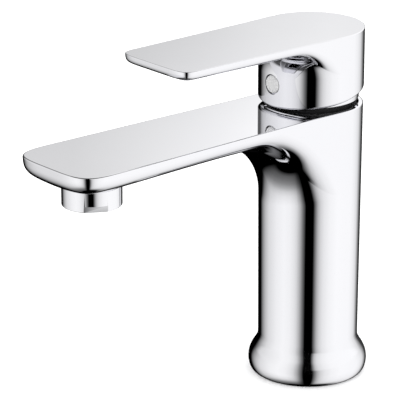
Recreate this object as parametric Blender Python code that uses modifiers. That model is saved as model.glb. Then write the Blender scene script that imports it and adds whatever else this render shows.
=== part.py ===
"""Single-lever bathroom basin mixer: cast body with a flat paddle spout, pivoting lever handle,
35 mm ceramic-disc cartridge, aerator and deck seal.

Frame: metres, +Z up. The origin is where the fixing stud's axis meets the deck. The spout points
along -Y. Lengths below are written in millimetres and scaled once, when a mesh is made.
"""

import math

import bmesh
import bpy
import numpy as np
from mathutils import Matrix, Vector

MM = 0.001
GAP = 0.3  # clearance between pieces that touch

# Body casting
TOP_ROUND = 0.7  # rounded edge of the flat tops
TOP_Z = 126.0  # flat top face of column and spout
COLUMN_RADIUS = 23.0  # at the top face
COLUMN_LOW_RADIUS = 22.35  # just above the foot
FOOT_Z = 17.0
REACH = 122.4  # column axis to aerator axis
SPOUT_TIP_START = 120.0  # where the rounded end of the spout begins
SPOUT_TIP_LENGTH = 25.4
SPOUT_FILLET = 32.0  # spout underside into the column

# Cavities of the casting
RIM_OPENING = 20.9
NUT_BORE = 19.6
NUT_SEAT_Z = 114.6
RIM_FLOOR_Z = 119.4
POCKET_RADIUS = 17.9
SEAT_Z = 98.0  # floor that the cartridge seals against
COLUMN_BORE = 18.4
INLET_FLOOR_Z = 60.0  # underside of the block that takes the hoses
AERATOR_SOCKET = 12.1
AERATOR_SOCKET_TOP = 121.8

# Lever handle
LEVER_TOP_Z = 159.8
SKIRT_RADIUS = 23.2
SKIRT_CORNER_Z = 131.35  # over the axis
SKIRT_SLOPE = 0.139  # the skirt's lower edge rises towards the back, which dips as the lever lifts
LEVER_TIP_START = 75.0
LEVER_TIP_LENGTH = 15.2
LEVER_FILLET = 13.0
LIP_RADIUS = 21.1  # the skirt's lip is part of a sphere about the lever's pivot
LIP_Z = 128.6
SKIRT_BORE = 19.3
BACK_RELIEF = -4.7  # cut under the skirt's back, below the pivot, so that the lever can lift
SLEEVE_RADIUS = 18.95  # sphere about the pivot, inside the skirt's bore
PLUG_Z = 137.6
PLUG_RADIUS = 4.05

# Motion
PIVOT_Z = 131.0
LIFT_DEG = 20.0
STEM_ARM = 11.0  # pivot to the ball that drives the disc carrier

# Cartridge
BARREL_RADIUS = 17.5
BARREL_TOP_Z = 114.9
NECK_RADIUS = 14.6
NECK_TOP_Z = 127.5
CHAMBER_RADIUS = 15.6
GUIDE_RADIUS = 11.5
STEM_SIDE = 8.0
INLET_PORT = (6.2, 4.2)
OUTLET_PORT = (0.0, -7.0)

# Aerator
OUTLET_Z = 105.6
AERATOR_RADIUS = 12.7
AERATOR_THREAD = 11.8
AERATOR_FLANGE_Z = 114.4
JET_TURN = 0.37  # part of a step, so that the jets miss the grid's bars

BASE_RING = (18.8, 23.4)  # seal under the foot: inner and outer radius


def collection(name):
    made = bpy.data.collections.new(name)
    bpy.context.scene.collection.children.link(made)
    return made


def principled(name, colour, roughness, metallic):
    material = bpy.data.materials.new(name)
    material.use_nodes = True
    shader = material.node_tree.nodes["Principled BSDF"]
    shader.inputs["Base Color"].default_value = (*colour, 1.0)
    shader.inputs["Roughness"].default_value = roughness
    shader.inputs["Metallic"].default_value = metallic
    material.diffuse_color = (*colour, 1.0)
    return material


FINISHES = {
    "chrome": ((0.88, 0.89, 0.91), 0.05, 1.0),
    "brass": ((0.78, 0.62, 0.33), 0.28, 1.0),
    "steel": ((0.55, 0.56, 0.58), 0.30, 1.0),
    "grey_plastic": ((0.48, 0.50, 0.53), 0.42, 0.0),
    "white_plastic": ((0.86, 0.86, 0.84), 0.38, 0.0),
    "red_plastic": ((0.62, 0.06, 0.05), 0.40, 0.0),
    "black_plastic": ((0.02, 0.02, 0.022), 0.50, 0.0),
    "index_grey": ((0.78, 0.78, 0.79), 0.25, 0.2),
    "ceramic": ((0.92, 0.91, 0.88), 0.22, 0.0),
    "rubber": ((0.025, 0.025, 0.027), 0.70, 0.0),
}


def smoothstep(value):
    value = min(max(value, 0.0), 1.0)
    return value * value * (3.0 - 2.0 * value)


class Workshop:
    """Makes meshes in millimetres and files them as parts or as cutters."""

    def __init__(self):
        self.parts = collection("bathroom_mixer_faucet")
        self.cutters = collection("cutters")

    def place(self, obj, finish):
        if finish is None:
            self.cutters.objects.link(obj)
            obj.hide_render = True
            obj.display_type = "WIRE"
            return obj
        self.parts.objects.link(obj)
        obj.data.materials.append(principled(obj.name, *FINISHES[finish]))
        obj.data.shade_smooth()
        obj.data.set_sharp_from_angle(angle=math.radians(35))
        return obj

    def from_bmesh(self, name, bm, finish=None):
        bmesh.ops.recalc_face_normals(bm, faces=bm.faces[:])
        bmesh.ops.scale(bm, vec=(MM, MM, MM), verts=bm.verts[:])
        mesh = bpy.data.meshes.new(name)
        bm.to_mesh(mesh)
        bm.free()
        return self.place(bpy.data.objects.new(name, mesh), finish)

    def cylinder(self, name, radius, start, end, finish=None, segments=32, radius_end=None):
        """A solid cylinder, or a cone, between two points."""
        start, end = Vector(start), Vector(end)
        bm = bmesh.new()
        bmesh.ops.create_cone(
            bm, cap_ends=True, segments=segments, radius1=radius,
            radius2=radius if radius_end is None else radius_end, depth=(end - start).length,
        )
        turn = Vector((0, 0, 1)).rotation_difference(end - start).to_matrix().to_4x4()
        bmesh.ops.transform(bm, matrix=Matrix.Translation((start + end) / 2) @ turn, verts=bm.verts[:])
        return self.from_bmesh(name, bm, finish)

    def box(self, name, low, high, finish=None, turn=None):
        low, high = Vector(low), Vector(high)
        bm = bmesh.new()
        bmesh.ops.create_cube(bm, size=1.0)
        bmesh.ops.scale(bm, vec=high - low, verts=bm.verts[:])
        bmesh.ops.translate(bm, vec=(low + high) / 2, verts=bm.verts[:])
        if turn is not None:
            bmesh.ops.transform(bm, matrix=turn, verts=bm.verts[:])
        return self.from_bmesh(name, bm, finish)

    def ball(self, name, radius, centre, finish=None, segments=24):
        bm = bmesh.new()
        bmesh.ops.create_uvsphere(bm, u_segments=segments, v_segments=segments // 2, radius=radius)
        bmesh.ops.translate(bm, vec=centre, verts=bm.verts[:])
        return self.from_bmesh(name, bm, finish)

    def turned(self, name, profile, finish=None, segments=28, centre=(0.0, 0.0), closed=False):
        """A turned shape. The profile is (radius, height), down the outer side first."""
        points = [(radius * MM, 0.0, height * MM) for radius, height in profile]
        edges = [(i, i + 1) for i in range(len(points) - 1)]
        if closed:
            edges.append((len(points) - 1, 0))
        mesh = bpy.data.meshes.new(name)
        mesh.from_pydata(points, edges, [])
        obj = bpy.data.objects.new(name, mesh)
        obj.location = (centre[0] * MM, centre[1] * MM, 0.0)
        screw = obj.modifiers.new("Screw", "SCREW")
        screw.steps = screw.render_steps = segments
        screw.use_merge_vertices = True
        screw.merge_threshold = 0.00001
        return self.place(obj, finish)

    def ring(self, name, inner, outer, low, high, finish=None, segments=28, centre=(0.0, 0.0)):
        profile = [(outer, high), (outer, low), (inner, low), (inner, high)]
        return self.turned(name, profile, finish, segments, centre, closed=True)

    def o_ring(self, name, radius, wire, height, finish, segments=28, sides=6, centre=(0.0, 0.0)):
        profile = [
            (radius + wire * math.cos(a), height - wire * math.sin(a))
            for a in (math.tau * (i + 0.5) / sides for i in range(sides))
        ]
        return self.turned(name, profile, finish, segments, centre, closed=True)

    def tube_cutter(self, name, radius, points):
        """A bent tube with filled ends, made into a mesh so that it can cut."""
        curve = bpy.data.curves.new(name, "CURVE")
        curve.dimensions = "3D"
        curve.bevel_depth = radius * MM
        curve.bevel_resolution = 2
        curve.use_fill_caps = True
        spline = curve.splines.new("POLY")
        spline.points.add(len(points) - 1)
        for point, place in zip(spline.points, points):
            point.co = (*(Vector(place) * MM), 1.0)
        guide = bpy.data.objects.new(name, curve)
        bpy.context.scene.collection.objects.link(guide)
        bpy.context.view_layer.update()
        graph = bpy.context.evaluated_depsgraph_get()
        mesh = bpy.data.meshes.new_from_object(guide.evaluated_get(graph))
        bpy.data.objects.remove(guide)
        bm = bmesh.new()
        bm.from_mesh(mesh)
        bmesh.ops.remove_doubles(bm, verts=bm.verts[:], dist=0.000001)
        bmesh.ops.recalc_face_normals(bm, faces=bm.faces[:])
        bm.to_mesh(mesh)
        bm.free()
        return self.place(bpy.data.objects.new(name, mesh), None)


def boolean(target, other, operation):
    modifier = target.modifiers.new(other.name, "BOOLEAN")
    modifier.operation = operation
    modifier.solver = "EXACT"
    modifier.object = other


def cut(target, *others):
    for other in others:
        boolean(target, other, "DIFFERENCE")


def join(target, *others):
    for other in others:
        boolean(target, other, "UNION")


class Paddle:
    """The form shared by body and lever: a flat-topped paddle that flows into a round column."""

    def __init__(self, radius, top, tip_start, tip_length, width, edge, centre, fillet,
                 foot_z, shoulder, round_over, round_height, sharpness):
        self.radius = radius
        self.top = top
        self.tip_start = tip_start
        self.tip_length = tip_length
        self.width = width  # half width of the paddle at a distance in front of the axis
        self.edge = edge  # height of the paddle's lower edge there
        self.centre = centre  # height of its underside on the centre line
        self.fillet = fillet
        self.foot_z = foot_z  # height on the column where the form ends
        self.shoulder = shoulder  # how far below the top the side starts to curve in
        self.round_over = round_over
        self.round_height = round_height
        self.sharpness = sharpness  # exponent of the superellipse that ends the paddle

    def half_outline(self, front, back):
        """Points and outward normals from the middle of the back to the middle of the tip."""
        dense = [(self.width(d), -d) for d in np.linspace(0.0, self.tip_start, 120, endpoint=False)]
        power = 2.0 / self.sharpness
        for a in np.linspace(0.0, math.pi / 2, 240):
            forward = self.tip_start + self.tip_length * math.sin(a) ** power
            dense.append((self.width(forward) * max(math.cos(a), 0.0) ** power, -forward))
        dense = np.array(dense)
        step = np.diff(dense, axis=0)
        length = np.hypot(step[:, 0], step[:, 1])
        heading = np.unwrap(np.arctan2(step[:, 1], step[:, 0]))
        turning = np.abs(np.diff(heading, prepend=-math.pi / 2))
        sweep = np.abs(np.diff(np.arctan2(dense[:, 1], dense[:, 0])))
        share = 0.3 * length / length.sum() + 0.35 * turning / turning.sum()
        share += 0.35 * sweep / sweep.sum()
        along = np.concatenate([[0.0], np.cumsum(share)])
        wanted = np.linspace(0.0, 1.0, front + 1)
        points = np.column_stack([np.interp(wanted, along, dense[:, k]) for k in (0, 1)])
        middles = (along[1:] + along[:-1]) / 2
        headings = np.interp(wanted, middles, heading)
        headings[0], headings[-1] = -math.pi / 2, -math.pi
        normals = np.column_stack([-np.sin(headings), np.cos(headings)])
        rear = np.linspace(math.pi / 2, 0.0, back, endpoint=False)
        circle = np.column_stack([np.cos(rear), np.sin(rear)])
        return np.vstack([circle * self.radius, points]), np.vstack([circle, normals])

    def belly(self, x, y):
        """Height of the underside before the fillet."""
        forward = max(-y, 0.0)
        across = min(abs(x) / self.width(forward), 1.0)
        centre, edge = self.centre(forward), self.edge(forward)
        return centre + (edge - centre) * across ** 1.6

    def underside(self, x, y):
        """Height of the underside with the fillet that leads into the column."""
        out = max(math.hypot(x, y) - self.radius, 0.0)
        drop = 0.0
        if out < self.fillet:
            drop = self.fillet - math.sqrt(self.fillet ** 2 - (self.fillet - out) ** 2)
        return self.belly(x, y) - drop

    def descent(self, inner, foot, steps):
        """Points along the underside and the fillet, then down the column, closer where it bends."""
        path = []
        for left in np.linspace(1.0, 0.0, 160) ** 2:
            place = foot + (inner - foot) * left
            path.append((*place, self.underside(*place)))
        path.append((*foot, self.foot_z))
        path = np.array(path)
        step = np.diff(path, axis=0)
        length = np.linalg.norm(step, axis=1)
        slope = np.arctan2(-step[:, 2], np.hypot(step[:, 0], step[:, 1]) + 1e-9)
        turning = np.abs(np.diff(slope, prepend=slope[0])) * (length > 1e-6)
        share = length / length.sum() + turning / max(turning.sum(), math.pi / 2)
        along = np.concatenate([[0.0], np.cumsum(share)])
        wanted = np.linspace(0.0, along[-1], steps + 1)[1:]
        return [tuple(np.interp(w, along, path[:, k]) for k in range(3)) for w in wanted]

    def meridian(self, point, normal, steps):
        """One line down the surface: top edge, side, rounded lower edge, underside, fillet."""
        crown, wall, turn, under = steps
        line = []
        for a in np.linspace(0.0, math.pi / 2, crown):
            inset = TOP_ROUND * (1 - math.sin(a))
            line.append((*(point - normal * inset), self.top - TOP_ROUND * (1 - math.cos(a))))
        reach = np.dot(point, normal)
        chord = max(reach ** 2 - np.dot(point, point) + self.radius ** 2, 0.0)
        room = reach - math.sqrt(chord)  # from the outline inwards to the column
        inner = point - normal * self.round_over * (1 - math.exp(-room / self.round_over))
        foot = inner * (self.radius / math.hypot(*inner))
        corner = self.underside(*point)
        start = min(self.top - self.shoulder, corner + self.round_height)
        above = self.top - TOP_ROUND
        for part in range(1, wall + 1):
            line.append((*point, above + (start - above) * part / wall))
        for part in range(1, turn + 1):
            t = part / turn
            a, b, c = (1 - t) ** 2, 2 * t * (1 - t), t * t
            place = point * (a + b) + inner * c
            line.append((*place, start * a + corner * b + self.underside(*inner) * c))
        return line + self.descent(inner, foot, under)

    def rings(self, front, back, steps):
        half = [self.meridian(p, n, steps) for p, n in zip(*self.half_outline(front, back))]
        mirrored = [[(-x, y, z) for x, y, z in line] for line in half[-2:0:-1]]
        lines = half + mirrored
        return [[line[k] for line in lines] for k in range(len(lines[0]))]


def loft(bm, rings):
    """Skins closed rings of equal count and caps both ends."""
    rows = [[bm.verts.new(point) for point in ring] for ring in rings]
    count = len(rows[0])
    for upper, lower in zip(rows, rows[1:]):
        for i in range(count):
            j = (i + 1) % count
            bm.faces.new((upper[i], lower[i], lower[j], upper[j]))
    bm.faces.new(rows[0])
    bm.faces.new(rows[-1])


def circle_ring(template, radius, height):
    """A ring at one radius, in the directions of the template's points."""
    made = []
    for x, y, _ in template:
        scale = radius / math.hypot(x, y)
        made.append((x * scale, y * scale, height))
    return made


def column_radius(height):
    share = (height - FOOT_Z) / (TOP_Z - FOOT_Z)
    return COLUMN_LOW_RADIUS + (COLUMN_RADIUS - COLUMN_LOW_RADIUS) * share


def spout_width(forward):
    u = forward / 100.0
    blade = 22.0 + 2.3 * u - 0.25 * u * u
    return COLUMN_RADIUS + (blade - COLUMN_RADIUS) * smoothstep(u / 0.3)


def spout_edge(forward):
    return 119.9 - 1.9 * smoothstep((forward - 60.0) / 85.0)


def spout_centre(forward):
    return 114.0 + 3.0 * (forward - 50.0) / 95.0


BODY = Paddle(COLUMN_RADIUS, TOP_Z, SPOUT_TIP_START, SPOUT_TIP_LENGTH, spout_width, spout_edge,
              spout_centre, SPOUT_FILLET, foot_z=76.0, shoulder=1.5, round_over=7.0,
              round_height=6.5, sharpness=4.4)


def lever_width(forward):
    u = forward / 100.0
    blade = 23.2 - 2.9 * u + 0.9 * u * u
    return SKIRT_RADIUS + (blade - SKIRT_RADIUS) * smoothstep(u / 0.2)


def lever_edge(forward):
    return 155.5


def lever_centre(forward):
    return 154.6 + 0.9 * forward / 90.0


LEVER = Paddle(SKIRT_RADIUS, LEVER_TOP_Z, LEVER_TIP_START, LEVER_TIP_LENGTH, lever_width,
               lever_edge, lever_centre, LEVER_FILLET, foot_z=140.0, shoulder=0.9,
               round_over=3.6, round_height=3.4, sharpness=6.5)


def body_blank(shop):
    """The outer form: paddle spout, tapered column, flared foot."""
    rings = BODY.rings(front=20, back=7, steps=(2, 1, 5, 9))
    tapered = []
    for ring in rings:
        scale = [column_radius(z) / COLUMN_RADIUS for _, _, z in ring]
        tapered.append([(x * k, y * k, z) for (x, y, z), k in zip(ring, scale)])
    last = tapered[-1]
    for height in (62.0, 40.0, FOOT_Z):
        tapered.append(circle_ring(last, column_radius(height), height))
    foot = [(22.7, 15.2), (23.7, 13.2), (25.3, 10.6), (26.3, 8.0), (26.6, 5.6), (26.4, 3.2),
            (25.6, 1.2), (24.2, 0.0)]
    tapered += [circle_ring(last, radius, height) for radius, height in foot]
    bm = bmesh.new()
    loft(bm, tapered)
    return shop.from_bmesh("body_casting", bm, "chrome")


def body_casting(shop):
    body = body_blank(shop)
    profile = [(0.0, TOP_Z + 2), (RIM_OPENING, TOP_Z + 2), (RIM_OPENING, RIM_FLOOR_Z),
               (NUT_BORE, RIM_FLOOR_Z), (NUT_BORE, NUT_SEAT_Z), (POCKET_RADIUS, NUT_SEAT_Z),
               (POCKET_RADIUS, SEAT_Z), (0.0, SEAT_Z)]
    cut(body, shop.turned("cartridge_pocket_cutter", profile, segments=48))
    profile = [(0.0, INLET_FLOOR_Z), (14.0, INLET_FLOOR_Z), (COLUMN_BORE, INLET_FLOOR_Z - 5.0),
               (COLUMN_BORE, -2.0), (0.0, -2.0)]
    cut(body, shop.turned("column_bore_cutter", profile, segments=40))
    cut(body, shop.ring("base_seal_groove_cutter", *BASE_RING, -1.0, 1.7, segments=48))
    for side, hand in ((-1, "hot"), (1, "cold")):
        x, y = side * INLET_PORT[0], INLET_PORT[1]
        profile = [(0.0, SEAT_Z + 1), (3.0, SEAT_Z + 1), (3.0, 74.0), (4.6, 72.0),
                   (4.6, INLET_FLOOR_Z - 1), (0.0, INLET_FLOOR_Z - 1)]
        cut(body, shop.turned(f"{hand}_inlet_cutter", profile, segments=20, centre=(x, y)))
    cut(body, shop.cylinder("stud_hole_cutter", 3.6, (0, -9, INLET_FLOOR_Z - 1), (0, -9, 76),
                            segments=20))
    for side in (-1, 1):
        cut(body, shop.cylinder(f"index_hole_{side + 1}_cutter", 2.1, (side * 11.5, -8.0, 95.5),
                                (side * 11.5, -8.0, SEAT_Z + 1), segments=16))
    y = OUTLET_PORT[1]
    waterway = [(0, y, SEAT_Z + 1), (0, y, 92.5), (0, y - 2.0, 90.2), (0, -12.5, 89.6),
                (0, -17.0, 91.2), (0, -21.5, 95.4), (0, -25.5, 101.5), (0, -29.5, 108.5),
                (0, -34.5, 114.5), (0, -42.0, 118.8), (0, -52.0, 120.2), (0, -REACH + 8, 120.2)]
    cut(body, shop.tube_cutter("waterway_cutter", 2.7, waterway))
    cut(body, shop.cylinder("aerator_socket_cutter", AERATOR_SOCKET, (0, -REACH, 100),
                            (0, -REACH, AERATOR_SOCKET_TOP), segments=40))
    return body


def at_height(radius, height):
    """Radius of a horizontal slice through a sphere about the lever's pivot."""
    return math.sqrt(radius ** 2 - (PIVOT_Z - height) ** 2)


def lip_point(angle, part):
    """A point on the lip's sphere, from its root (0) to its free edge (1)."""
    y = LIP_RADIUS * math.sin(angle)
    root = SKIRT_CORNER_Z + SKIRT_SLOPE * y - 1.2
    height = root + (min(LIP_Z, root - GAP) - root) * part
    radius = at_height(LIP_RADIUS, height)
    return radius * math.cos(angle), radius * math.sin(angle), height


def lever_handle(shop):
    rings = LEVER.rings(front=19, back=7, steps=(2, 1, 4, 5))
    last = rings[-1]
    for radius, below in ((SKIRT_RADIUS, -0.4), (23.0, 0.1), (22.2, 1.0)):
        ring = circle_ring(last, radius, 0.0)
        rings.append([(x, y, SKIRT_CORNER_Z + SKIRT_SLOPE * y - below) for x, y, _ in ring])
    for part in (0.0, 0.5, 1.0):
        rings.append([lip_point(math.atan2(y, x), part) for x, y, _ in last])
    bm = bmesh.new()
    loft(bm, rings)
    handle = shop.from_bmesh("lever_handle", bm, "chrome")

    turn = Matrix.Translation((0, 0, PIVOT_Z)) @ Matrix.Rotation(math.radians(LIFT_DEG), 4, "X")
    relief = shop.box("back_relief_cutter", (-30, 8, -24.7), (30, 40, BACK_RELIEF), turn=turn)
    cut(relief, shop.ball("lip_keeper", LIP_RADIUS + 0.05, (0, 0, PIVOT_Z), segments=48))
    cut(handle, relief)

    bottom = [(at_height(SKIRT_BORE, z), z) for z in (131.0, 129.5, 128.0, 126.4, 124.8)]
    profile = [(0.0, 150.5), (17.0, 150.5), (SKIRT_BORE, 148.5), *bottom, (0.0, 124.8)]
    cut(handle, shop.turned("skirt_bore_cutter", profile, segments=48))
    join(handle, shop.box("stem_boss_front", (-7.0, -20.6, 133.9), (7.0, 0.5, 152.0)),
         shop.box("stem_boss_back", (-7.01, -0.5, 138.0), (7.01, 8.5, 152.01)))
    half = STEM_SIDE / 2 + GAP
    cut(handle, shop.box("stem_socket_cutter", (-half, -half, 130.0), (half, half, 148.4)),
        shop.cylinder("grub_hole_cutter", 2.8, (0, -22, PLUG_Z), (0, -3.5, PLUG_Z), segments=20),
        shop.cylinder("plug_hole_cutter", PLUG_RADIUS + GAP, (0, -25, PLUG_Z), (0, -19.9, PLUG_Z),
                      segments=28))
    return handle


def index_plug(shop):
    """A domed round plug over the grub screw, flush with the skirt."""
    face = -SKIRT_RADIUS + 0.15
    plug = shop.turned("index_plug", [(0.0, 0.35), (2.2, 0.3), (3.7, 0.0), (PLUG_RADIUS, -0.5),
                                      (PLUG_RADIUS, -2.0), (0.0, -2.0)], "index_grey", segments=28)
    plug.rotation_euler = (math.pi / 2, 0, 0)
    plug.location = (0, face * MM, PLUG_Z * MM)
    return plug


def handle_grub_screw(shop):
    screw = shop.cylinder("handle_grub_screw", 2.5, (0, -15.5, PLUG_Z), (0, -STEM_SIDE / 2 - GAP, PLUG_Z),
                          "steel", segments=20)
    cut(screw, shop.cylinder("hex_key_cutter", 1.45, (0, -17, PLUG_Z), (0, -11.5, PLUG_Z), segments=6))
    return screw


def cartridge_lock_nut(shop):
    low, high = NUT_SEAT_Z + 0.6, RIM_FLOOR_Z - 0.1
    nut = shop.turned("cartridge_lock_nut", [
        (19.0, high), (19.3, high - 0.4), (19.3, low + 0.4), (19.0, low), (NECK_RADIUS + GAP, low),
        (NECK_RADIUS + GAP, high)], "brass", segments=32, closed=True)
    for i in range(6):
        a = math.tau * (i + 0.5) / 6
        x, y = math.cos(a), math.sin(a)
        start, end = (x * 17.2, y * 17.2, high - 1.6), (x * 17.2, y * 17.2, high + 1)
        cut(nut, shop.cylinder(f"nut_slot_{i}_cutter", 1.25, start, end, segments=12))
    return nut


def dust_sleeve(shop):
    """A dark sleeve on the rim's ledge that closes the gap under the lever's lip."""
    outside = [(at_height(SLEEVE_RADIUS, z), z) for z in (122.8, 124.2, 125.6, 127.1, 128.6)]
    return shop.turned("dust_sleeve", [
        (16.1, 119.7), (16.1, 128.6), *outside[::-1], (17.0, 120.9), (20.5, 120.9), (20.5, 119.7)],
        "black_plastic", segments=36, closed=True)


def cartridge_housing(shop):
    """Barrel and neck. The guide turns in the neck and the discs sit in the barrel."""
    base = 101.9
    return shop.turned("cartridge_housing", [
        (NECK_RADIUS - 0.6, NECK_TOP_Z), (NECK_RADIUS, NECK_TOP_Z - 0.6), (NECK_RADIUS, BARREL_TOP_Z),
        (BARREL_RADIUS, BARREL_TOP_Z), (BARREL_RADIUS, base), (CHAMBER_RADIUS, base),
        (CHAMBER_RADIUS, 113.0), (12.95, 113.0), (12.95, 117.3), (GUIDE_RADIUS + GAP, 117.3),
        (GUIDE_RADIUS + GAP, NECK_TOP_Z)], "grey_plastic", segments=32, closed=True)


def temperature_limit_ring(shop):
    """A toothed ring on the neck that sets the hot stop."""
    inner = NECK_RADIUS + GAP
    ring = shop.ring("temperature_limit_ring", inner, 15.7, 121.0, 123.6, "red_plastic", segments=36)
    for i in range(12):
        a = math.tau * i / 12
        x, y = 16.1 * math.cos(a), 16.1 * math.sin(a)
        cut(ring, shop.cylinder(f"tooth_gap_{i}_cutter", 0.75, (x, y, 120), (x, y, 125), segments=8))
    return ring


def cartridge_stem(shop):
    """Square stem on a cross pin, with a ball below that drives the disc carrier."""
    half = STEM_SIDE / 2
    stem = shop.box("cartridge_stem", (-half, -half, 126.6), (half, half, 148.0), "steel")
    join(stem, shop.cylinder("stem_arm", 2.4, (0, 0, 119.0), (0, 0, 127.4), segments=20),
         shop.ball("stem_ball", 3.0, (0, 0, PIVOT_Z - STEM_ARM), segments=20))
    cut(stem, shop.cylinder("stem_pin_cutter", 1.8, (-6, 0, PIVOT_Z), (6, 0, PIVOT_Z), segments=20))
    return stem


def stem_pivot_pin(shop):
    return shop.cylinder("stem_pivot_pin", 1.5, (-8.6, 0, PIVOT_Z), (8.6, 0, PIVOT_Z), "steel",
                         segments=20)


def stem_guide(shop):
    """The part of the cartridge that swivels: a drum with two lugs that hold the cross pin."""
    guide = shop.turned("stem_guide", [
        (0.0, 126.0), (GUIDE_RADIUS, 126.0), (GUIDE_RADIUS, 123.3), (GUIDE_RADIUS - 1.1, 123.1),
        (GUIDE_RADIUS - 1.1, 121.1), (GUIDE_RADIUS, 120.9), (GUIDE_RADIUS, 117.0), (12.6, 117.0),
        (12.6, 115.7), (0.0, 115.7)], "white_plastic", segments=28)
    lug = STEM_SIDE / 2 + 0.5
    for side, hand in ((-1, "left"), (1, "right")):
        ends = sorted((side * lug, side * (lug + 4.4)))
        join(guide, shop.box(f"{hand}_lug", (ends[0], -4.2, 124.0), (ends[1], 4.2, 133.4)))
    cut(guide, shop.box("stem_slot_cutter", (-lug, -7.0, 124.4), (lug, 7.0, 140.0)),
        shop.box("arm_slot_cutter", (-3.4, -7.6, 119.0), (3.4, 3.6, 125.0)),
        shop.box("carrier_well_cutter", (-5.7, -9.7, 114.0), (5.7, 5.7, 120.4)),
        shop.cylinder("guide_pin_cutter", 1.8, (-10, 0, PIVOT_Z), (10, 0, PIVOT_Z), segments=20))
    return guide


def disc_carrier(shop):
    """Slides across the cartridge, pushed by the stem's ball, and takes the moving disc along."""
    carrier = shop.turned("disc_carrier", [
        (0.0, 119.5), (5.2, 119.5), (5.2, 115.2), (8.8, 115.2), (8.8, 112.7), (11.4, 112.7),
        (11.4, 112.0), (0.0, 112.0)], "white_plastic", segments=36)
    cut(carrier, shop.cylinder("ball_socket_cutter", 3.35, (0, 0, 116.5), (0, 0, 121), segments=24))
    return carrier


def moving_ceramic_disc(shop):
    disc = shop.turned("moving_ceramic_disc", [
        (0.0, 111.7), (11.1, 111.7), (11.4, 111.4), (11.4, 108.6), (11.1, 108.3), (0.0, 108.3)],
        "ceramic", segments=28)
    cut(disc, shop.cylinder("mixing_recess_cutter", 6.0, (0, 1.0, 107), (0, 1.0, 110.2), segments=28))
    return disc


def port_holes(shop, target, radius, low, high):
    x, y = INLET_PORT
    for name, place in (("hot", (-x, y)), ("cold", (x, y)), ("outlet", OUTLET_PORT)):
        cut(target, shop.cylinder(f"{target.name}_{name}_cutter", radius, (*place, low),
                                  (*place, high), segments=20))


def fixed_ceramic_disc(shop):
    disc = shop.turned("fixed_ceramic_disc", [
        (0.0, 108.0), (15.2, 108.0), (15.2, 104.6), (0.0, 104.6)], "ceramic", segments=28)
    port_holes(shop, disc, 2.9, 103, 110)
    return disc


def cartridge_base(shop):
    """Closes the barrel from below; its two pins set the cartridge's angle in the body."""
    base = shop.turned("cartridge_base", [
        (0.0, 104.3), (CHAMBER_RADIUS - GAP, 104.3), (CHAMBER_RADIUS - GAP, 101.6),
        (BARREL_RADIUS - 0.1, 101.6), (BARREL_RADIUS - 0.1, 98.7), (0.0, 98.7)],
        "grey_plastic", segments=32)
    port_holes(shop, base, 2.9, 97, 106)
    x, y = INLET_PORT
    for name, place in (("hot", (-x, y)), ("cold", (x, y)), ("outlet", OUTLET_PORT)):
        cut(base, shop.cylinder(f"{name}_seal_groove_cutter", 4.8, (*place, 97), (*place, 100.7),
                                segments=24))
    for side in (-1, 1):
        join(base, shop.cylinder(f"index_pin_{side + 1}", 1.7, (side * 11.5, -8.0, 96.0),
                                 (side * 11.5, -8.0, 99.4), segments=16))
    return base


def port_seals(shop):
    x, y = INLET_PORT
    for name, place in (("hot", (-x, y)), ("cold", (x, y)), ("outlet", OUTLET_PORT)):
        shop.turned(f"{name}_port_seal", [
            (4.2, 100.4), (4.5, 100.1), (4.5, 98.6), (4.2, 98.3), (3.2, 98.3), (3.0, 98.6),
            (3.0, 100.1), (3.2, 100.4)], "rubber", segments=16, centre=place, closed=True)


def aerator_housing(shop):
    """Screws up into the spout. Two key notches cross its lower rim."""
    centre = (0.0, -REACH)
    housing = shop.turned("aerator_housing", [
        (AERATOR_THREAD - 0.4, 119.8), (AERATOR_THREAD, 119.4), (AERATOR_THREAD, AERATOR_FLANGE_Z),
        (AERATOR_RADIUS - 0.2, AERATOR_FLANGE_Z), (AERATOR_RADIUS, AERATOR_FLANGE_Z - 0.3),
        (AERATOR_RADIUS, OUTLET_Z + 0.3), (AERATOR_RADIUS - 0.3, OUTLET_Z), (9.6, OUTLET_Z),
        (9.6, OUTLET_Z + 1.6), (10.7, OUTLET_Z + 1.6), (10.7, 119.8)],
        "chrome", segments=36, centre=centre, closed=True)
    for i, angle in enumerate((-30.0, 150.0)):
        turn = Matrix.Translation((0, -REACH, 0)) @ Matrix.Rotation(math.radians(angle), 4, "Z")
        cut(housing, shop.box(f"key_notch_{i}_cutter", (11.7, -5.0, OUTLET_Z - 1),
                              (15, 5.0, OUTLET_Z + 2.7), turn=turn))
    return housing


def aerator_insert(shop):
    """Plastic jet former that stands in the housing."""
    centre = (0.0, -REACH)
    insert = shop.turned("aerator_insert", [
        (0.0, 117.2), (9.4, 117.2), (9.4, 118.2), (10.4, 118.2), (10.4, 111.2), (8.8, 111.2),
        (8.8, 112.6), (0.0, 112.6)], "white_plastic", segments=28, centre=centre)
    for i in range(8):
        a = math.tau * (i + JET_TURN) / 8
        x, y = 5.6 * math.cos(a), 5.6 * math.sin(a) - REACH
        cut(insert, shop.cylinder(f"jet_{i}_cutter", 0.9, (x, y, 110), (x, y, 119), segments=10))
    return insert


def aerator_flow_grid(shop):
    """Square grid at the mouth that straightens the stream."""
    centre = (0.0, -REACH)
    grid = shop.ring("aerator_flow_grid", 8.7, 10.4, 107.5, 110.9, "white_plastic", segments=36,
                     centre=centre)
    for i in range(-2, 3):
        reach = math.sqrt(9.4 ** 2 - (3.0 * i) ** 2)
        join(grid, shop.box(f"grid_bar_x_{i + 2}", (-reach, 3.0 * i - 0.25 - REACH, 108.0),
                            (reach, 3.0 * i + 0.25 - REACH, 110.0)),
             shop.box(f"grid_bar_y_{i + 2}", (3.0 * i - 0.25, -reach - REACH, 108.1),
                      (3.0 * i + 0.25, reach - REACH, 110.1)))
    return grid


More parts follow.
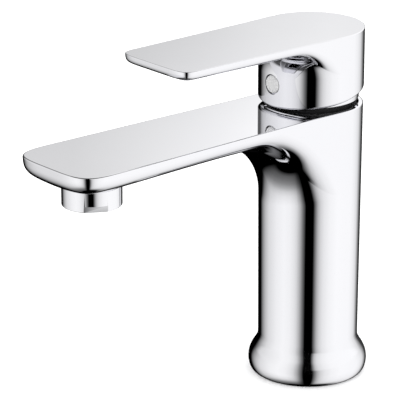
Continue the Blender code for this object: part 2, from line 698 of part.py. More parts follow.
def seals(shop):
    shop.ring("aerator_gasket", 9.6, 11.7, 120.1, 121.5, "rubber", segments=28,
              centre=(0.0, -REACH))
    shop.o_ring("guide_o_ring", 11.05, 0.6, 122.1, "rubber", segments=28)
    shop.ring("base_seal", BASE_RING[0] + GAP, BASE_RING[1] - GAP, 0.0, 1.4, "rubber", segments=36)


def parent_to_joints(parts):
    """Empties on the joint axes carry the pieces that move."""
    carried = {
        "swivel_axis": ((0, 0, PIVOT_Z), None, ("stem_guide", "stem_pivot_pin", "guide_o_ring")),
        "lift_axis": ((0, 0, PIVOT_Z), "swivel_axis",
                      ("lever_handle", "index_plug", "handle_grub_screw", "cartridge_stem")),
        "disc_slide": ((0, 0, 110.0), "swivel_axis", ("disc_carrier", "moving_ceramic_disc")),
    }
    for name, (place, parent, pieces) in carried.items():
        empty = bpy.data.objects.new(name, None)
        empty.empty_display_size = 0.02
        parts.objects.link(empty)
        empty.location = Vector(place) * MM
        if parent:
            above = bpy.data.objects[parent]
            empty.parent = above
            empty.location = (Vector(place) - Vector(carried[parent][0])) * MM
        for piece in pieces:
            obj = bpy.data.objects[piece]
            obj.parent = empty
            obj.matrix_parent_inverse = Matrix.Translation(-Vector(place) * MM)


def main():
    for obj in list(bpy.data.objects):
        bpy.data.objects.remove(obj)
    shop = Workshop()
    for make in (body_casting, lever_handle, index_plug, handle_grub_screw, cartridge_lock_nut,
                 dust_sleeve, cartridge_housing, temperature_limit_ring, cartridge_stem,
                 stem_pivot_pin, stem_guide, disc_carrier, moving_ceramic_disc,
                 fixed_ceramic_disc, cartridge_base, port_seals, aerator_housing,
                 aerator_insert, aerator_flow_grid, seals):
        make(shop)
    parent_to_joints(shop.parts)


main()
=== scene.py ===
import math

import bmesh
import bpy
import numpy as np
from mathutils import Matrix, Vector


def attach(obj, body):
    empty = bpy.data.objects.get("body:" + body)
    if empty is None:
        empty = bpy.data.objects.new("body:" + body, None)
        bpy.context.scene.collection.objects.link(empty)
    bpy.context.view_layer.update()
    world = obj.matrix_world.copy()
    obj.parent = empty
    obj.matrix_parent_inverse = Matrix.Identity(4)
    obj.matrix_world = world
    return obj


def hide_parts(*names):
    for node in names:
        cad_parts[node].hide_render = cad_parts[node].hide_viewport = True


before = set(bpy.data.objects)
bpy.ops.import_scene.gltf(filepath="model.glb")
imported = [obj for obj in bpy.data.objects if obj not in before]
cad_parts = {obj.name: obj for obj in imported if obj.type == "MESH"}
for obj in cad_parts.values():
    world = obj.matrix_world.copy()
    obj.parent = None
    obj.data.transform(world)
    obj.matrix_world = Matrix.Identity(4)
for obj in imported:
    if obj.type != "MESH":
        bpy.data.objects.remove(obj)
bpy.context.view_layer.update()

MM = 0.001

# The CAD model's driving dimensions, in millimetres; only the plug and its hole differ slightly
TOP_Z = 126.0
COLUMN_RADIUS = 23.0
COLUMN_LOW_RADIUS = 22.35
FOOT_Z = 17.0
REACH = 122.4
SPOUT_TIP_START = 120.0
SPOUT_TIP_LENGTH = 25.4
SPOUT_FILLET = 32.0
RIM_OPENING = 20.9
RIM_ROUND = 0.15
RIM_FLOOR_Z = 119.4
NUT_BORE = 19.6
NUT_SEAT_Z = 114.6
POCKET_RADIUS = 17.9
SEAT_Z = 98.0
COLUMN_BORE = 18.4
INLET_FLOOR_Z = 60.0
INLET_PORT = (6.2, 4.2)
INLET_THREAD = 4.6
INLET_THREAD_TOP = 72.0
INLET_BORE = 3.0
STUD_Y = -9
STUD_HOLE = 3.6
STUD_HOLE_TOP = 76.0
BASE_RING = (18.8, 23.4)
LEVER_TOP_Z = 159.8
SKIRT_RADIUS = 23.2
SKIRT_CORNER_Z = 131.35
SKIRT_SLOPE = 0.139
LEVER_TIP_START = 75.0
LEVER_TIP_LENGTH = 15.2
LEVER_FILLET = 13.0
LIP_RADIUS = 21.1
LIP_Z = 128.6
LIP_ROOT_DROP = 1.2  # from the skirt's corner down to where the lip begins
SKIRT_BORE = 19.3
BACK_RELIEF = -4.7
HOLLOW_TOP_Z = 150.5
BOSS_HALF = 7.0
STEM_SOCKET = 4.3  # half its side
STEM_SOCKET_TOP = 148.4
GRUB_HOLE = 2.8
PIVOT_Z = 131.0
LIFT_DEG = 20.0
PLUG_Z = 137.6
PLUG_RADIUS = 4.0
PLUG_HOLE = 4.5
OUTLET_Z = 105.6
AERATOR_RADIUS = 12.7
AERATOR_THREAD = 11.8
AERATOR_FLANGE_Z = 114.4
AERATOR_SOCKET = 12.1
AERATOR_SOCKET_TOP = 121.8
NOTCH_ANGLES = (-30.0, 150.0)

# Mesh making
TOP_BORDER = 0.25  # narrow row round a flat top, so that its edge shades cleanly
BELLY_POWER = 1.6  # how the underside rises from its centre line to its edges
ON_AXIS = 0.0001  # radius that stands for the axis in a turned profile
NOISE_LOW, NOISE_HIGH = 0.3, 0.7  # the part of a noise texture's range that shows

# Camera
VIEW_AZIMUTH = 49.53
VIEW_ELEVATION = 19.101
VIEW_DISTANCE = 1200.0
VIEW_AIM = (-48.508, 79.587)  # across and up from the column's foot
FOCAL_PIXELS = 2703.403
FRAME_PIXELS = 400.0
SENSOR = 36.0


def smoothstep(value):
    value = min(max(value, 0.0), 1.0)
    return value * value * (3.0 - 2.0 * value)


# ---------------------------------------------------------------- materials


class Nodes:
    """A material's node tree with short calls for the nodes used here."""

    def __init__(self, name):
        self.material = bpy.data.materials.new(name)
        self.material.use_nodes = True
        self.tree = self.material.node_tree
        self.shader = self.tree.nodes["Principled BSDF"]

    def add(self, kind, **inputs):
        node = self.tree.nodes.new(kind)
        for key, value in inputs.items():
            node.inputs[key].default_value = value
        return node

    def link(self, source, target):
        self.tree.links.new(source, target)

    def place(self, scale=(1.0, 1.0, 1.0)):
        coordinates = self.add("ShaderNodeTexCoord")
        mapping = self.add("ShaderNodeMapping", Scale=scale)
        self.link(coordinates.outputs["Object"], mapping.inputs["Vector"])
        return mapping.outputs["Vector"]

    def noise(self, vector, scale, detail=4.0, roughness=0.5):
        node = self.add("ShaderNodeTexNoise", Scale=scale, Detail=detail, Roughness=roughness)
        self.link(vector, node.inputs["Vector"])
        return node.outputs["Fac"]

    def roughness(self, value, low, high):
        """Lets a noise value vary the roughness between two figures."""
        node = self.add("ShaderNodeMapRange")
        node.inputs["From Min"].default_value = NOISE_LOW
        node.inputs["From Max"].default_value = NOISE_HIGH
        node.inputs["To Min"].default_value = low
        node.inputs["To Max"].default_value = high
        self.link(value, node.inputs["Value"])
        self.link(node.outputs["Result"], self.shader.inputs["Roughness"])

    def colour(self, value, first, second):
        """Lets a noise value vary the colour between two."""
        node = self.add("ShaderNodeValToRGB")
        stops = ((NOISE_LOW, first), (NOISE_HIGH, second))
        for element, (place, colour) in zip(node.color_ramp.elements, stops):
            element.position = place
            element.color = (*colour, 1.0)
        self.link(value, node.inputs["Fac"])
        self.link(node.outputs["Color"], self.shader.inputs["Base Color"])

    def bump(self, height, strength, distance):
        node = self.add("ShaderNodeBump", Strength=strength, Distance=distance)
        self.link(height, node.inputs["Height"])
        self.link(node.outputs["Normal"], self.shader.inputs["Normal"])


def chrome():
    """Polished plate: a mirror with a faint polishing haze and a slight drift of tint."""
    n = Nodes("chrome_plate")
    n.shader.inputs["Metallic"].default_value = 1.0
    vector = n.place()
    n.roughness(n.noise(vector, 60.0, 5.0, 0.6), 0.018, 0.05)
    n.colour(n.noise(vector, 14.0, 2.0), (0.855, 0.856, 0.884), (0.872, 0.872, 0.894))
    return n.material


def plastic(name, colour, roughness):
    n = Nodes(name)
    vector = n.place()
    grain = n.noise(vector, 900.0, 3.0)
    dark = tuple(c * 0.93 for c in colour)
    n.colour(n.noise(vector, 90.0, 3.0), dark, colour)
    n.roughness(grain, roughness - 0.06, roughness + 0.06)
    n.bump(grain, 0.12, 0.0002)
    return n.material


def rubber():
    n = Nodes("black_rubber")
    grain = n.noise(n.place(), 1500.0, 4.0, 0.6)
    n.colour(grain, (0.018, 0.018, 0.019), (0.035, 0.035, 0.037))
    n.roughness(grain, 0.58, 0.78)
    n.bump(grain, 0.25, 0.0002)
    return n.material


def ceramic():
    n = Nodes("alumina")
    grain = n.noise(n.place(), 2200.0, 2.0)
    n.colour(grain, (0.88, 0.87, 0.84), (0.93, 0.92, 0.89))
    n.roughness(grain, 0.16, 0.26)
    return n.material


def turned_metal(name, colour, roughness):
    """Bare metal off the lathe: fine rings about the vertical axis."""
    n = Nodes(name)
    n.shader.inputs["Metallic"].default_value = 1.0
    rings = n.noise(n.place((1.0, 1.0, 40.0)), 260.0, 4.0, 0.6)
    dark = tuple(c * 0.82 for c in colour)
    n.colour(rings, dark, colour)
    n.roughness(rings, roughness - 0.08, roughness + 0.1)
    n.bump(rings, 0.15, 0.0001)
    return n.material


# ---------------------------------------------------------------- mesh helpers


def finished(name, bm, material, sharp=35.0):
    bmesh.ops.recalc_face_normals(bm, faces=bm.faces[:])
    bmesh.ops.scale(bm, vec=(MM, MM, MM), verts=bm.verts[:])
    mesh = bpy.data.meshes.new(name)
    bm.to_mesh(mesh)
    bm.free()
    obj = bpy.data.objects.new(name, mesh)
    bpy.context.scene.collection.objects.link(obj)
    if material is not None:
        mesh.materials.append(material)
    mesh.shade_smooth()
    mesh.set_sharp_from_angle(angle=math.radians(sharp))
    return obj


def loft(bm, rings, closed=False):
    """Joins rings of equal count by faces, and caps the two ends unless the last ring meets the first."""
    rows = [[bm.verts.new(point) for point in ring] for ring in rings]
    count = len(rows[0])
    pairs = list(zip(rows, rows[1:]))
    if closed:
        pairs.append((rows[-1], rows[0]))
    for upper, lower in pairs:
        for i in range(count):
            j = (i + 1) % count
            bm.faces.new((upper[i], lower[i], lower[j], upper[j]))
    if not closed:
        bm.faces.new(rows[0])
        bm.faces.new(rows[-1])


def turned(profile, segments, centre=(0.0, 0.0), closed=False):
    """A turned solid in a new bmesh, from (radius, height) points down its profile."""
    bm = bmesh.new()
    rings = []
    for radius, height in profile:
        ring = []
        for i in range(segments):
            a = math.tau * i / segments
            ring.append((centre[0] + radius * math.cos(a), centre[1] + radius * math.sin(a), height))
        rings.append(ring)
    loft(bm, rings, closed=closed)
    return bm


def cylinder(radius, start, end, segments=48):
    start, end = Vector(start), Vector(end)
    bm = bmesh.new()
    bmesh.ops.create_cone(bm, cap_ends=True, segments=segments, radius1=radius, radius2=radius,
                          depth=(end - start).length)
    turn = Vector((0, 0, 1)).rotation_difference(end - start).to_matrix().to_4x4()
    bmesh.ops.transform(bm, matrix=Matrix.Translation((start + end) / 2) @ turn, verts=bm.verts[:])
    return bm


def box(low, high, turn=None):
    low, high = Vector(low), Vector(high)
    bm = bmesh.new()
    bmesh.ops.create_cube(bm, size=1.0)
    bmesh.ops.scale(bm, vec=high - low, verts=bm.verts[:])
    bmesh.ops.translate(bm, vec=(low + high) / 2, verts=bm.verts[:])
    if turn is not None:
        bmesh.ops.transform(bm, matrix=turn, verts=bm.verts[:])
    return bm


def ball(radius, centre):
    bm = bmesh.new()
    bmesh.ops.create_uvsphere(bm, u_segments=96, v_segments=48, radius=radius)
    bmesh.ops.translate(bm, vec=centre, verts=bm.verts[:])
    return bm


def apply_boolean(target, bm, operation="DIFFERENCE"):
    """Cuts or joins a shape at once, and clears the helper away."""
    other = finished("helper", bm, None)
    modifier = target.modifiers.new("Boolean", "BOOLEAN")
    modifier.operation = operation
    modifier.object = other
    bpy.context.view_layer.update()
    graph = bpy.context.evaluated_depsgraph_get()
    mesh = bpy.data.meshes.new_from_object(target.evaluated_get(graph))
    target.modifiers.clear()
    old = target.data
    target.data = mesh
    bpy.data.meshes.remove(old)
    used = other.data
    bpy.data.objects.remove(other)
    bpy.data.meshes.remove(used)


def shade(obj, sharp=35.0):
    """Smooths all but sharp edges, and lets a large flat face set the shading at its edge."""
    obj.data.shade_smooth()
    obj.data.set_sharp_from_angle(angle=math.radians(sharp))
    modifier = obj.modifiers.new("Weighted", "WEIGHTED_NORMAL")
    modifier.mode = "FACE_AREA"
    modifier.weight = 50
    modifier.keep_sharp = True


# ---------------------------------------------------------------- the paddle form


class Paddle:
    """The form shared by body and lever: a flat-topped paddle that flows into a round column.

    width, edge and centre give the half width, the height of the lower edge and the height of the
    underside on the centre line, at a distance in front of the axis.
    """

    def __init__(self, radius, top, tip_start, tip_length, width, edge, centre, fillet,
                 foot_z, shoulder, round_over, round_height, sharpness, top_round):
        self.radius = radius
        self.top = top
        self.tip_start = tip_start
        self.tip_length = tip_length
        self.width = width
        self.edge = edge
        self.centre = centre
        self.fillet = fillet
        self.foot_z = foot_z
        self.shoulder = shoulder
        self.round_over = round_over
        self.round_height = round_height
        self.sharpness = sharpness
        self.top_round = top_round

    def half_outline(self, front, back):
        """Points and outward normals round one half, closer where it bends or sweeps round the axis."""
        dense = [(self.width(d), -d) for d in np.linspace(0.0, self.tip_start, 600, endpoint=False)]
        power = 2.0 / self.sharpness
        for a in np.linspace(0.0, math.pi / 2, 1200):
            forward = self.tip_start + self.tip_length * math.sin(a) ** power
            dense.append((self.width(forward) * max(math.cos(a), 0.0) ** power, -forward))
        dense = np.array(dense)
        step = np.diff(dense, axis=0)
        length = np.hypot(step[:, 0], step[:, 1])
        heading = np.unwrap(np.arctan2(step[:, 1], step[:, 0]))
        turning = np.abs(np.diff(heading, prepend=-math.pi / 2))
        sweep = np.abs(np.diff(np.arctan2(dense[:, 1], dense[:, 0])))
        share = 0.3 * length / length.sum() + 0.35 * turning / turning.sum()
        share += 0.35 * sweep / sweep.sum()
        along = np.concatenate([[0.0], np.cumsum(share)])
        wanted = np.linspace(0.0, 1.0, front + 1)
        points = np.column_stack([np.interp(wanted, along, dense[:, k]) for k in (0, 1)])
        middles = (along[1:] + along[:-1]) / 2
        headings = np.interp(wanted, middles, heading)
        headings[0], headings[-1] = -math.pi / 2, -math.pi
        normals = np.column_stack([-np.sin(headings), np.cos(headings)])
        rear = np.linspace(math.pi / 2, 0.0, back, endpoint=False)
        circle = np.column_stack([np.cos(rear), np.sin(rear)])
        return np.vstack([circle * self.radius, points]), np.vstack([circle, normals])

    def belly(self, x, y):
        forward = max(-y, 0.0)
        across = min(abs(x) / self.width(forward), 1.0)
        centre, edge = self.centre(forward), self.edge(forward)
        return centre + (edge - centre) * across ** BELLY_POWER

    def underside(self, x, y):
        out = max(math.hypot(x, y) - self.radius, 0.0)
        drop = 0.0
        if out < self.fillet:
            drop = self.fillet - math.sqrt(self.fillet ** 2 - (self.fillet - out) ** 2)
        return self.belly(x, y) - drop

    def descent(self, inner, foot, steps):
        """Points along the underside and the fillet, then down the column, closer where it bends."""
        path = []
        for left in np.linspace(1.0, 0.0, 160) ** 2:
            place = foot + (inner - foot) * left
            path.append((*place, self.underside(*place)))
        path.append((*foot, self.foot_z))
        path = np.array(path)
        step = np.diff(path, axis=0)
        length = np.linalg.norm(step, axis=1)
        slope = np.arctan2(-step[:, 2], np.hypot(step[:, 0], step[:, 1]) + 1e-9)
        turning = np.abs(np.diff(slope, prepend=slope[0])) * (length > 1e-6)
        share = length / length.sum() + turning / max(turning.sum(), math.pi / 2)
        along = np.concatenate([[0.0], np.cumsum(share)])
        wanted = np.linspace(0.0, along[-1], steps + 1)[1:]
        return [tuple(np.interp(w, along, path[:, k]) for k in range(3)) for w in wanted]

    def meridian(self, point, normal, steps):
        """One line down the surface: top edge, side, rounded lower edge, underside, fillet."""
        crown, wall, turn, under = steps
        line = [(*(point - normal * (self.top_round + TOP_BORDER)), self.top)]
        for a in np.linspace(0.0, math.pi / 2, crown):
            inset = self.top_round * (1 - math.sin(a))
            height = self.top - self.top_round * (1 - math.cos(a))
            line.append((*(point - normal * inset), height))
        reach = np.dot(point, normal)
        chord = max(reach ** 2 - np.dot(point, point) + self.radius ** 2, 0.0)
        room = reach - math.sqrt(chord)  # from the outline inwards to the column
        inner = point - normal * self.round_over * (1 - math.exp(-room / self.round_over))
        foot = inner * (self.radius / math.hypot(*inner))
        corner = self.underside(*point)
        start = min(self.top - self.shoulder, corner + self.round_height)
        above = self.top - self.top_round
        for part in range(1, wall + 1):
            line.append((*point, above + (start - above) * part / wall))
        for part in range(1, turn + 1):
            t = part / turn
            a, b, c = (1 - t) ** 2, 2 * t * (1 - t), t * t
            place = point * (a + b) + inner * c
            line.append((*place, start * a + corner * b + self.underside(*inner) * c))
        return line + self.descent(inner, foot, under)

    def rings(self, front, back, steps):
        half = [self.meridian(p, n, steps) for p, n in zip(*self.half_outline(front, back))]
        mirrored = [[(-x, y, z) for x, y, z in line] for line in half[-2:0:-1]]
        lines = half + mirrored
        return [[line[k] for line in lines] for k in range(len(lines[0]))]


def circle_ring(template, radius, height):
    made = []
    for x, y, _ in template:
        scale = radius / math.hypot(x, y)
        made.append((x * scale, y * scale, height))
    return made


def smooth_profile(points, count):
    """Points along a Catmull-Rom curve through (radius, height) points."""
    made = []
    padded = [points[0], *points, points[-1]]
    for p0, p1, p2, p3 in zip(padded, padded[1:], padded[2:], padded[3:]):
        for k in range(count):
            t = k / count
            made.append(tuple(
                0.5 * (2 * b + (c - a) * t + (2 * a - 5 * b + 4 * c - d) * t * t
                       + (3 * b - a - 3 * c + d) * t ** 3)
                for a, b, c, d in zip(p0, p1, p2, p3)))
    made.append(points[-1])
    return made


# ---------------------------------------------------------------- body casting


def column_radius(height):
    share = (height - FOOT_Z) / (TOP_Z - FOOT_Z)
    return COLUMN_LOW_RADIUS + (COLUMN_RADIUS - COLUMN_LOW_RADIUS) * share


def spout_width(forward):
    u = forward / 100.0
    blade = 22.0 + 2.3 * u - 0.25 * u * u
    return COLUMN_RADIUS + (blade - COLUMN_RADIUS) * smoothstep(u / 0.3)


def spout_edge(forward):
    return 119.9 - 1.9 * smoothstep((forward - 60.0) / 85.0)


def spout_centre(forward):
    return 114.0 + 3.0 * (forward - 50.0) / 95.0


def body_casting(material):
    form = Paddle(COLUMN_RADIUS, TOP_Z, SPOUT_TIP_START, SPOUT_TIP_LENGTH, spout_width, spout_edge,
                  spout_centre, SPOUT_FILLET, foot_z=76.0, shoulder=1.5, round_over=7.0,
                  round_height=6.5, sharpness=4.4, top_round=0.7)
    rings = form.rings(front=130, back=50, steps=(6, 3, 18, 56))
    tapered = []
    for ring in rings:
        scale = [column_radius(z) / COLUMN_RADIUS for _, _, z in ring]
        tapered.append([(x * k, y * k, z) for (x, y, z), k in zip(ring, scale)])
    last = tapered[-1]
    for height in np.linspace(70.0, 22.0, 9):
        tapered.append(circle_ring(last, column_radius(height), height))
    foot = [(column_radius(18.0), 18.0), (22.5, 16.2), (23.0, 14.5), (24.0, 12.7), (25.3, 10.6),
            (26.2, 8.4), (26.58, 6.2), (26.5, 4.0), (26.0, 2.0), (25.2, 0.7), (24.2, 0.03)]
    tapered += [circle_ring(last, r, z) for r, z in smooth_profile(foot, 4)]
    bm = bmesh.new()
    loft(bm, tapered)
    body = finished("body_casting_fine", bm, material)
    rim = RIM_OPENING + RIM_ROUND
    pocket = [(ON_AXIS, TOP_Z + 2), (rim, TOP_Z + 2), (rim, TOP_Z), (RIM_OPENING, TOP_Z - RIM_ROUND),
              (RIM_OPENING, RIM_FLOOR_Z), (NUT_BORE, RIM_FLOOR_Z), (NUT_BORE, NUT_SEAT_Z),
              (POCKET_RADIUS, NUT_SEAT_Z), (POCKET_RADIUS, SEAT_Z), (ON_AXIS, SEAT_Z)]
    apply_boolean(body, turned(pocket, 160))
    hollow = [(ON_AXIS, INLET_FLOOR_Z), (14.0, INLET_FLOOR_Z), (COLUMN_BORE, INLET_FLOOR_Z - 5.0),
              (COLUMN_BORE, -2.0), (ON_AXIS, -2.0)]
    apply_boolean(body, turned(hollow, 128))
    inner, outer = BASE_RING
    groove = [(outer, 1.7), (outer, -1.0), (inner, -1.0), (inner, 1.7)]
    apply_boolean(body, turned(groove, 128, closed=True))
    for side in (-1, 1):
        x, y = side * INLET_PORT[0], INLET_PORT[1]
        apply_boolean(body, cylinder(INLET_THREAD, (x, y, INLET_FLOOR_Z - 1), (x, y, INLET_THREAD_TOP)))
        apply_boolean(body, cylinder(INLET_BORE, (x, y, INLET_THREAD_TOP - 1), (x, y, SEAT_Z + 1)))
    start, end = (0, STUD_Y, INLET_FLOOR_Z - 1), (0, STUD_Y, STUD_HOLE_TOP)
    apply_boolean(body, cylinder(STUD_HOLE, start, end))
    start, end = (0, -REACH, 100.0), (0, -REACH, AERATOR_SOCKET_TOP)
    apply_boolean(body, cylinder(AERATOR_SOCKET, start, end, 96))
    shade(body)
    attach(body, "body")
    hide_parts("body_casting")


# ---------------------------------------------------------------- lever handle


def lever_width(forward):
    u = forward / 100.0
    blade = 23.2 - 2.9 * u + 0.9 * u * u
    return SKIRT_RADIUS + (blade - SKIRT_RADIUS) * smoothstep(u / 0.2)


def lever_edge(forward):
    return 155.5


def lever_centre(forward):
    return 154.6 + 0.9 * forward / 90.0


def lip_point(angle, part):
    """A point on the lip's sphere about the pivot, from its root (0) to its free edge (1)."""
    y = LIP_RADIUS * math.sin(angle)
    root = SKIRT_CORNER_Z + SKIRT_SLOPE * y - LIP_ROOT_DROP
    height = root + (min(LIP_Z, root - 0.3) - root) * part
    radius = math.sqrt(LIP_RADIUS ** 2 - (PIVOT_Z - height) ** 2)
    return radius * math.cos(angle), radius * math.sin(angle), height


def lever_handle(material):
    form = Paddle(SKIRT_RADIUS, LEVER_TOP_Z, LEVER_TIP_START, LEVER_TIP_LENGTH, lever_width,
                  lever_edge, lever_centre, LEVER_FILLET, foot_z=140.0, shoulder=0.9,
                  round_over=3.6, round_height=3.4, sharpness=6.5, top_round=0.3)
    rings = form.rings(front=130, back=50, steps=(6, 3, 12, 40))
    last = rings[-1]
    rings.append(circle_ring(last, SKIRT_RADIUS, 137.5))
    for radius, below in ((SKIRT_RADIUS, -0.4), (23.1, 0.0), (22.75, 0.5), (22.2, 1.0), (21.6, 1.15)):
        ring = circle_ring(last, radius, 0.0)
        rings.append([(x, y, SKIRT_CORNER_Z + SKIRT_SLOPE * y - below) for x, y, _ in ring])
    for part in np.linspace(0.0, 1.0, 6):
        rings.append([lip_point(math.atan2(y, x), part) for x, y, _ in last])
    bm = bmesh.new()
    loft(bm, rings)
    handle = finished("lever_handle_fine", bm, material)
    turn = Matrix.Translation((0, 0, PIVOT_Z)) @ Matrix.Rotation(math.radians(LIFT_DEG), 4, "X")
    relief = finished("relief", box((-30, 8, BACK_RELIEF - 20), (30, 40, BACK_RELIEF), turn), None)
    apply_boolean(relief, ball(LIP_RADIUS + 0.05, (0, 0, PIVOT_Z)))
    bm = bmesh.new()
    bm.from_mesh(relief.data)
    bmesh.ops.scale(bm, vec=(1 / MM, 1 / MM, 1 / MM), verts=bm.verts[:])
    bpy.data.objects.remove(relief)
    apply_boolean(handle, bm)
    bottom = []
    for height in np.linspace(PIVOT_Z, 124.5, 12):
        bottom.append((math.sqrt(SKIRT_BORE ** 2 - (PIVOT_Z - height) ** 2), height))
    hollow = [(ON_AXIS, HOLLOW_TOP_Z), (17.0, HOLLOW_TOP_Z), (SKIRT_BORE, HOLLOW_TOP_Z - 2), *bottom,
              (ON_AXIS, 124.5)]
    apply_boolean(handle, turned(hollow, 160))
    half, rear = BOSS_HALF, BOSS_HALF + 0.01  # no two faces of the two boxes lie in one plane
    apply_boolean(handle, box((-half, -20.6, 133.9), (half, 0.5, 152.0)), "UNION")
    apply_boolean(handle, box((-rear, -0.5, 138.0), (rear, 8.5, 152.01)), "UNION")
    half = STEM_SOCKET
    apply_boolean(handle, box((-half, -half, 130.0), (half, half, STEM_SOCKET_TOP)))
    apply_boolean(handle, cylinder(GRUB_HOLE, (0, -22, PLUG_Z), (0, -3.5, PLUG_Z)))
    apply_boolean(handle, cylinder(PLUG_HOLE, (0, -25, PLUG_Z), (0, -19.9, PLUG_Z), 96))
    shade(handle, 30.0)
    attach(handle, "lever")
    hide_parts("lever_handle")


# ---------------------------------------------------------------- small pieces


def index_plug(material):
    """A domed plug with a rounded edge, whose crown stands 0.2 mm out of the skirt."""
    profile = [(ON_AXIS, 0.35), (1.0, 0.34), (2.0, 0.30), (3.0, 0.18), (3.45, 0.06), (3.7, -0.05),
               (3.87, -0.2), (3.96, -0.4), (PLUG_RADIUS, -0.65), (PLUG_RADIUS, -2.0), (ON_AXIS, -2.0)]
    bm = turned(profile, 72)
    turn = Matrix.Translation((0, -SKIRT_RADIUS + 0.15, PLUG_Z)) @ Matrix.Rotation(math.pi / 2, 4, "X")
    bmesh.ops.transform(bm, matrix=turn, verts=bm.verts[:])
    plug = finished("index_plug_fine", bm, material)
    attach(plug, "lever")
    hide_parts("index_plug")


def aerator_housing(material):
    """The threaded sleeve in the spout, with two key notches in its lower rim."""
    edge, low, flange = AERATOR_RADIUS, OUTLET_Z, AERATOR_FLANGE_Z
    profile = [(AERATOR_THREAD - 0.4, 119.8), (AERATOR_THREAD, 119.4), (AERATOR_THREAD, flange),
               (edge - 0.3, flange), (edge - 0.09, flange - 0.09), (edge, flange - 0.3),
               (edge, low + 0.4), (edge - 0.04, low + 0.2), (edge - 0.15, low + 0.05),
               (edge - 0.3, low), (9.8, low), (9.65, low + 0.06), (9.6, low + 0.2),
               (9.6, low + 1.6), (10.7, low + 1.6), (10.7, 119.8)]
    sleeve = turned(profile, 120, (0.0, -REACH), closed=True)
    housing = finished("aerator_housing_fine", sleeve, material)
    for angle in NOTCH_ANGLES:
        turn = Matrix.Translation((0, -REACH, 0)) @ Matrix.Rotation(math.radians(angle), 4, "Z")
        apply_boolean(housing, box((11.7, -5.0, low - 1.0), (15.0, 5.0, low + 2.7), turn))
    shade(housing)
    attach(housing, "body")
    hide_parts("aerator_housing")


# ---------------------------------------------------------------- stage


# The room as the plate mirrors it: brightness round the horizon, in degrees from the camera's side
AROUND = (
    (-180, 0.0), (-142, 0.0), (-138, 0.05), (-132, 0.20), (-125, 0.35), (-118, 0.50), (-105, 0.70),
    (-80, 0.87), (-60, 0.93), (-45, 0.89), (-35, 0.79), (-28, 0.66), (-22, 0.42), (-16, 0.16),
    (-10, 0.0), (8, 0.0), (13, 0.20), (18, 0.46), (24, 0.66), (32, 0.80), (45, 0.91), (65, 0.97),
    (105, 0.95), (118, 0.87), (130, 0.72), (140, 0.34), (149, 0.05), (180, 0.0),
)
# The same higher up, above about 10 degrees; the flat tops mirror its part behind the faucet
CEILING = (
    (-180, 0.81), (-178.7, 0.72), (-177.2, 0.63), (-174, 0.60), (-167, 0.10), (-144, 0.10),
    (-134, 0.45), (-120, 0.66), (-95, 0.80), (-60, 0.93), (-45, 0.89), (-35, 0.79), (-28, 0.66),
    (-22, 0.42), (-16, 0.16), (-10, 0.0), (6, 0.0), (10, 0.22), (14, 0.52), (20, 0.72), (32, 0.86),
    (45, 0.94), (65, 0.97), (150, 1.0), (177.7, 1.0), (180, 0.81),
)
# How the light falls off below the horizon, by elevation, left and right of the camera
BELOW_LEFT = (
    (-90, 0.0), (-74, 0.0), (-68, 0.11), (-62, 0.17), (-56, 0.26), (-50, 0.43), (-44, 0.68),
    (-38, 0.84), (-32, 0.92), (-24, 1.0),
)
BELOW_RIGHT = (
    (-90, 0.0), (-71, 0.0), (-65, 0.30), (-58, 0.68), (-50, 0.86), (-40, 0.94), (-24, 1.0),
)
# The lamps end above the set, and the ceiling over it is dark
ZENITH = ((-90, 1.0), (47, 1.0), (53, 0.12), (90, 0.08))
# How the panel behind the set brightens upwards, which the flat tops show
BACK_PANEL = ((-90, 1.0), (14, 1.0), (15, 0.78), (16.3, 0.88), (17.3, 1.0), (18.3, 1.06), (22, 1.0))
# Where that panel is, where the right half begins, and where the ceiling takes over
BEHIND = ((-180, 1.0), (-174, 1.0), (-165, 0.0), (165, 0.0), (174, 1.0), (180, 1.0))
RIGHT_HALF = ((-180, 1.0), (-160, 0.0), (-5, 0.0), (5, 1.0), (180, 1.0))
OVERHEAD = ((-90, 0.0), (7, 0.0), (15, 1.0), (90, 1.0))
ROOM_STRENGTH = 1.14  # what the plate mirrors
FILL_STRENGTH = 1.6  # even light on all else


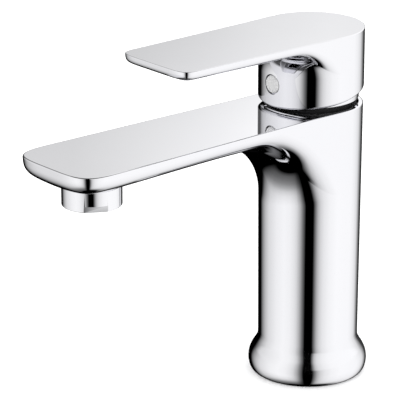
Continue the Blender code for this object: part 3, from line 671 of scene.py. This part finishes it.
def studio():
    """A white studio with dark gaps between its panels, which show only in reflections."""
    world = bpy.data.worlds.new("studio")
    bpy.context.scene.world = world
    world.use_nodes = True
    tree = world.node_tree
    tree.nodes.clear()

    def add(kind, **settings):
        node = tree.nodes.new(kind)
        for key, value in settings.items():
            setattr(node, key, value)
        return node

    def calculate(operation, *values):
        node = add("ShaderNodeMath", operation=operation)
        for socket, value in zip(node.inputs, values):
            if isinstance(value, (int, float)):
                socket.default_value = value
            else:
                tree.links.new(value, socket)
        return node.outputs[0]

    def ramp(value, stops, span):
        node = add("ShaderNodeValToRGB")
        elements = node.color_ramp.elements
        while len(elements) < len(stops):
            elements.new(0.5)
        for element, (degrees, grey) in zip(elements, stops):
            element.position = degrees / span + 0.5
            element.color = (grey, grey, grey, 1.0)
        tree.links.new(value, node.inputs["Fac"])
        return node.outputs["Color"]

    def blend(factor, first, second, mode="MIX"):
        node = add("ShaderNodeMix", data_type="RGBA", blend_type=mode)
        for socket, value in ((node.inputs["Factor"], factor), (node.inputs["A"], first),
                              (node.inputs["B"], second)):
            if isinstance(value, (int, float, tuple)):
                socket.default_value = value
            else:
                tree.links.new(value, socket)
        return node.outputs["Result"]

    def choose(factor, first, second):
        node = add("ShaderNodeMixShader")
        tree.links.new(factor, node.inputs["Fac"])
        tree.links.new(first, node.inputs[1])
        tree.links.new(second, node.inputs[2])
        return node.outputs[0]

    def background(colour, strength):
        node = add("ShaderNodeBackground")
        node.inputs["Strength"].default_value = strength
        if isinstance(colour, tuple):
            node.inputs["Color"].default_value = colour
        else:
            tree.links.new(colour, node.inputs["Color"])
        return node.outputs[0]

    white = (1.0, 1.0, 1.0, 1.0)
    coordinates = add("ShaderNodeTexCoord")
    parts = add("ShaderNodeSeparateXYZ")
    tree.links.new(coordinates.outputs["Generated"], parts.inputs["Vector"])
    x, y, z = parts.outputs
    facing = math.radians(VIEW_AZIMUTH - 90.0)
    turn = calculate("DIVIDE", calculate("SUBTRACT", calculate("ARCTAN2", y, x), facing), math.tau)
    turn = calculate("FRACT", calculate("ADD", turn, 1.5))
    rise = calculate("ADD", calculate("DIVIDE", calculate("ARCSINE", z), math.pi), 0.5)

    def by_azimuth(stops):
        return ramp(turn, stops, 360.0)

    def by_elevation(stops):
        return ramp(rise, stops, 180.0)

    room = blend(by_elevation(OVERHEAD), by_azimuth(AROUND), by_azimuth(CEILING))
    falloff = blend(by_azimuth(RIGHT_HALF), by_elevation(BELOW_LEFT), by_elevation(BELOW_RIGHT))
    panel = blend(by_azimuth(BEHIND), white, by_elevation(BACK_PANEL))
    for layer in (falloff, by_elevation(ZENITH), panel):
        room = blend(1.0, room, layer, "MULTIPLY")
    rays = add("ShaderNodeLightPath")
    fill = background(white, FILL_STRENGTH)
    lit = choose(rays.outputs["Is Glossy Ray"], fill, background(room, ROOM_STRENGTH))
    seen = choose(rays.outputs["Is Camera Ray"], lit, background(white, 1.0))
    out = add("ShaderNodeOutputWorld")
    tree.links.new(seen, out.inputs["Surface"])


def floor():
    bm = bmesh.new()
    bmesh.ops.create_grid(bm, x_segments=2, y_segments=2, size=6000.0)
    material = bpy.data.materials.new("pale_floor")
    material.use_nodes = True
    shader = material.node_tree.nodes["Principled BSDF"]
    shader.inputs["Base Color"].default_value = (0.95, 0.95, 0.95, 1.0)
    shader.inputs["Roughness"].default_value = 0.9
    obj = finished("pale_floor", bm, material)
    obj.visible_glossy = False


def camera():
    azimuth, elevation = math.radians(VIEW_AZIMUTH), math.radians(VIEW_ELEVATION)
    back = Vector((math.sin(azimuth) * math.cos(elevation), -math.cos(azimuth) * math.cos(elevation),
                   math.sin(elevation)))
    right = Vector((math.cos(azimuth), math.sin(azimuth), 0.0))
    up = back.cross(right)
    across, high = VIEW_AIM
    place = Vector((0, 0, high)) + back * VIEW_DISTANCE + right * across
    data = bpy.data.cameras.new("camera")
    data.sensor_width = SENSOR
    data.lens = FOCAL_PIXELS / FRAME_PIXELS * SENSOR
    data.clip_start, data.clip_end = 0.01, 50.0
    obj = bpy.data.objects.new("camera", data)
    turn = Matrix((right, up, back)).transposed().to_4x4()
    obj.matrix_world = Matrix.Translation(place * MM) @ turn
    bpy.context.scene.collection.objects.link(obj)
    bpy.context.scene.camera = obj
    bpy.context.scene.view_settings.view_transform = "Standard"


def dress_cad_nodes():
    """Gives each CAD piece that stays its own finish."""
    finishes = {
        "dust_sleeve": plastic("black_moulding", (0.02, 0.02, 0.022), 0.50),
        "handle_grub_screw": turned_metal("stainless", (0.56, 0.57, 0.59), 0.30),
        "cartridge_lock_nut": turned_metal("bare_brass", (0.78, 0.62, 0.33), 0.26),
        "cartridge_housing": plastic("grey_moulding", (0.48, 0.50, 0.53), 0.42),
        "temperature_limit_ring": plastic("red_moulding", (0.62, 0.06, 0.05), 0.40),
        "stem_guide": plastic("white_acetal", (0.86, 0.86, 0.84), 0.38),
        "fixed_ceramic_disc": ceramic(),
        "hot_port_seal": rubber(),
    }
    alike = {
        "cartridge_stem": "handle_grub_screw", "stem_pivot_pin": "handle_grub_screw",
        "cartridge_base": "cartridge_housing", "disc_carrier": "stem_guide",
        "aerator_insert": "stem_guide", "aerator_flow_grid": "stem_guide",
        "moving_ceramic_disc": "fixed_ceramic_disc", "cold_port_seal": "hot_port_seal",
        "outlet_port_seal": "hot_port_seal", "aerator_gasket": "hot_port_seal",
        "guide_o_ring": "hot_port_seal", "base_seal": "hot_port_seal",
    }
    for name, other in alike.items():
        finishes[name] = finishes[other]
    for name, material in finishes.items():
        obj = bpy.data.objects[name]
        obj.data.materials.clear()
        obj.data.materials.append(material)


plate = chrome()
camera()
studio()
floor()
dress_cad_nodes()
body_casting(plate)
lever_handle(plate)
aerator_housing(plate)
index_plug(plastic("index_plug_plastic", (0.80, 0.80, 0.80), 0.30))
